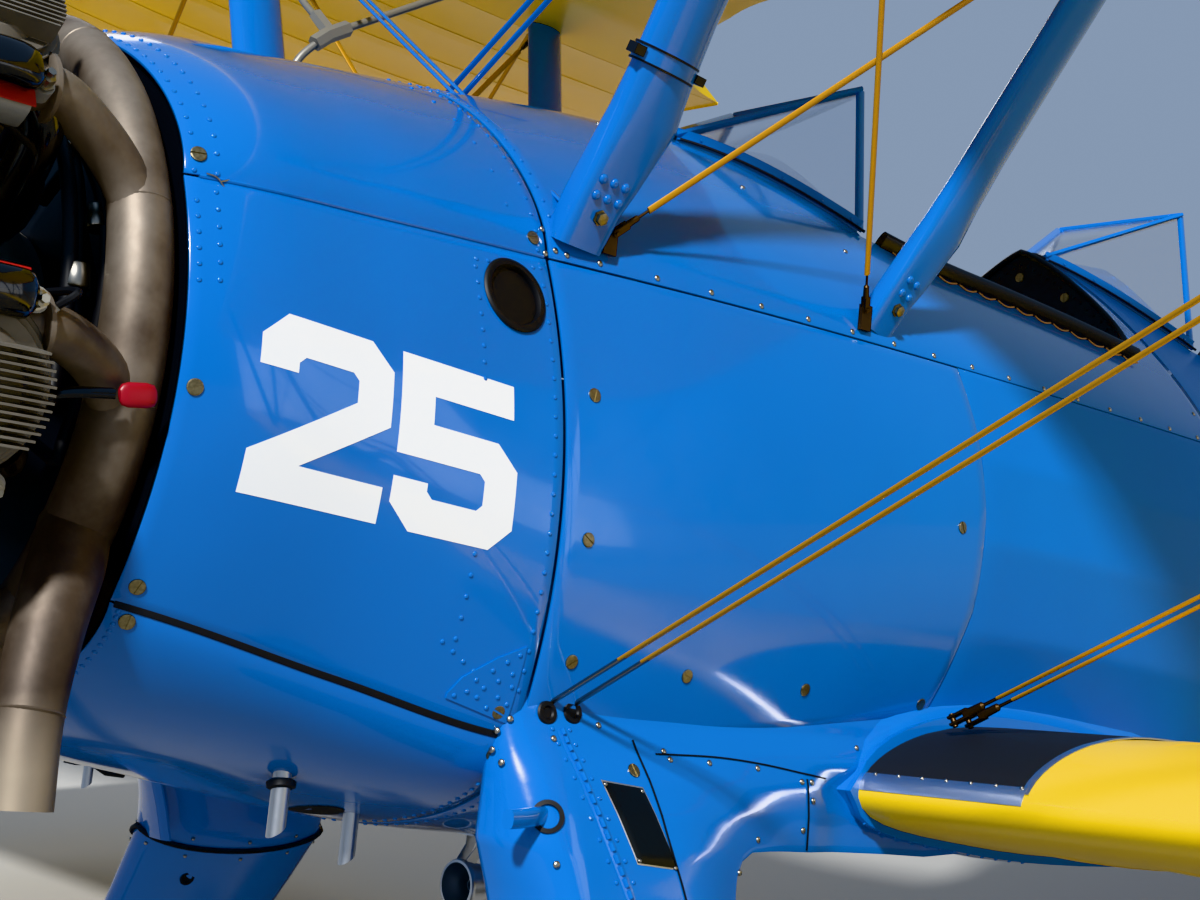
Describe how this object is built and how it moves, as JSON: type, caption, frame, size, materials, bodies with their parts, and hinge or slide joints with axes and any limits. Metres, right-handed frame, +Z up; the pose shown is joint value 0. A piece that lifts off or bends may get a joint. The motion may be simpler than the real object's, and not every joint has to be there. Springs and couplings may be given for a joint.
{
  "type": "open two-seat training biplane",
  "caption": "Open-cockpit tandem training biplane with an uncowled radial engine, fixed landing gear in faired legs, strut and wire braced wings and a steerable tail wheel.",
  "frame": {"origin": "on the ground under the middle of the parked aircraft's bounding box", "axes": "+X towards the tail, +Y towards the starboard wing tip, +Z up; the nose points to -X"},
  "size_m": [7.7822, 9.7976, 3.0319],
  "materials": {
    "blue_enamel": "glossy enamel",
    "blue_fabric": "glossy doped fabric over a frame",
    "yellow_fabric": "glossy doped fabric over a frame",
    "gold_wire": "satin",
    "black_metal": "satin",
    "primer": "matte primer",
    "clear_plastic": "clear sheet",
    "bare_steel": "satin",
    "engine_iron": "satin",
    "engine_case": "painted, satin",
    "heat_tinted_steel": "heat-tinted, satin",
    "bare_aluminium": "polished",
    "tyre_rubber": "matte"
  },
  "bodies": {
    "airframe": {"cowl_top": "blue_enamel", "cowl_side_left": "blue_enamel", "cowl_side_right": "blue_enamel", "cowl_bottom": "blue_enamel", "forward_deck": "blue_enamel", "side_panel_left": "blue_enamel", "side_panel_right": "blue_enamel", "cabane_strut_front_left": "blue_enamel", "cabane_strut_front_right": "blue_enamel", "cabane_strut_rear_left": "blue_enamel", "cabane_strut_rear_right": "blue_enamel", "interplane_strut_left": "blue_enamel", "interplane_strut_right": "blue_enamel", "gear_and_root_fairing_left": "blue_enamel", "gear_and_root_fairing_right": "blue_enamel", "gear_leg_left": "blue_enamel", "gear_leg_right": "blue_enamel", "aft_fuselage": "blue_fabric", "upper_wing_centre": "yellow_fabric", "upper_wing_left": "yellow_fabric", "upper_wing_right": "yellow_fabric", "lower_wing_left": "yellow_fabric", "lower_wing_right": "yellow_fabric", "stabiliser_left": "yellow_fabric", "stabiliser_right": "yellow_fabric", "fin": "yellow_fabric", "flying_wires_front_left": "gold_wire", "flying_wires_front_right": "gold_wire", "flying_wires_rear_left": "gold_wire", "flying_wires_rear_right": "gold_wire", "front_instrument_panel": "black_metal", "rear_instrument_panel": "black_metal", "front_cockpit_back_wall": "black_metal", "engine_baffle": "black_metal", "front_seat": "primer", "rear_seat": "primer", "front_windshield": "clear_plastic", "rear_windshield": "clear_plastic", "firewall": "bare_steel", "tail_wheel_leg": "bare_steel", "engine_cylinders": "engine_iron", "engine_nose_case": "engine_case", "exhaust_collector": "heat_tinted_steel"},
    "propeller": {"propeller_blades": "bare_aluminium", "propeller_hub": "bare_steel"},
    "wheel_left": {"tyre_left": "tyre_rubber", "wheel_hub_left": "bare_aluminium"},
    "wheel_right": {"tyre_right": "tyre_rubber", "wheel_hub_right": "bare_aluminium"},
    "rudder": {"rudder": "yellow_fabric"},
    "elevator": {"elevators": "yellow_fabric"},
    "aileron_left": {"aileron_left": "yellow_fabric"},
    "aileron_right": {"aileron_right": "yellow_fabric"},
    "tail_fork": {"tail_fork": "blue_enamel"},
    "tail_wheel": {"tail_wheel": "tyre_rubber"}
  },
  "joints": [
    {"name": "propeller_spin", "type": "hinge", "parent": "airframe", "child": "propeller", "pos_m": [-3.63706, 0, 1.75986], "axis": [-0.9816, 0, 0.1908], "continuous": true},
    {"name": "wheel_left_spin", "type": "hinge", "parent": "airframe", "child": "wheel_left", "pos_m": [-2.55485, -0.965, 0.30462], "axis": [0, 1, 0], "continuous": true},
    {"name": "wheel_right_spin", "type": "hinge", "parent": "airframe", "child": "wheel_right", "pos_m": [-2.55485, 0.965, 0.30462], "axis": [0, 1, 0], "continuous": true},
    {"name": "rudder_hinge", "type": "hinge", "parent": "airframe", "child": "rudder", "pos_m": [3.17215, 0, 0.68077], "axis": [0.1908, 0, 0.9816], "range_deg": [-30, 30]},
    {"name": "elevator_hinge", "type": "hinge", "parent": "airframe", "child": "elevator", "pos_m": [2.80894, 0, 0.75137], "axis": [0, 1, 0], "range_deg": [-28, 18.5]},
    {"name": "aileron_left_hinge", "type": "hinge", "parent": "airframe", "child": "aileron_left", "pos_m": [-0.77599, -3.16, 0.78215], "axis": [-0.0067, 0.9994, -0.0343], "range_deg": [-22, 22]},
    {"name": "aileron_right_hinge", "type": "hinge", "parent": "airframe", "child": "aileron_right", "pos_m": [-0.77599, 3.16, 0.78215], "axis": [0.0067, 0.9994, 0.0343], "range_deg": [-22, 22]},
    {"name": "tail_fork_steer", "type": "hinge", "parent": "airframe", "child": "tail_fork", "pos_m": [2.53669, 0, 0.12596], "axis": [-0.0523, 0, 0.9986], "range_deg": [-30, 30]},
    {"name": "tail_wheel_spin", "type": "hinge", "parent": "tail_fork", "child": "tail_wheel", "pos_m": [2.60659, 0, 0.12962], "axis": [0, 1, 0], "continuous": true}
  ],
  "couplings": [
    {"joint": "aileron_right_hinge", "follows": "aileron_left_hinge", "ratio": -1},
    {"joint": "tail_fork_steer", "follows": "rudder_hinge", "ratio": 1}
  ]
}
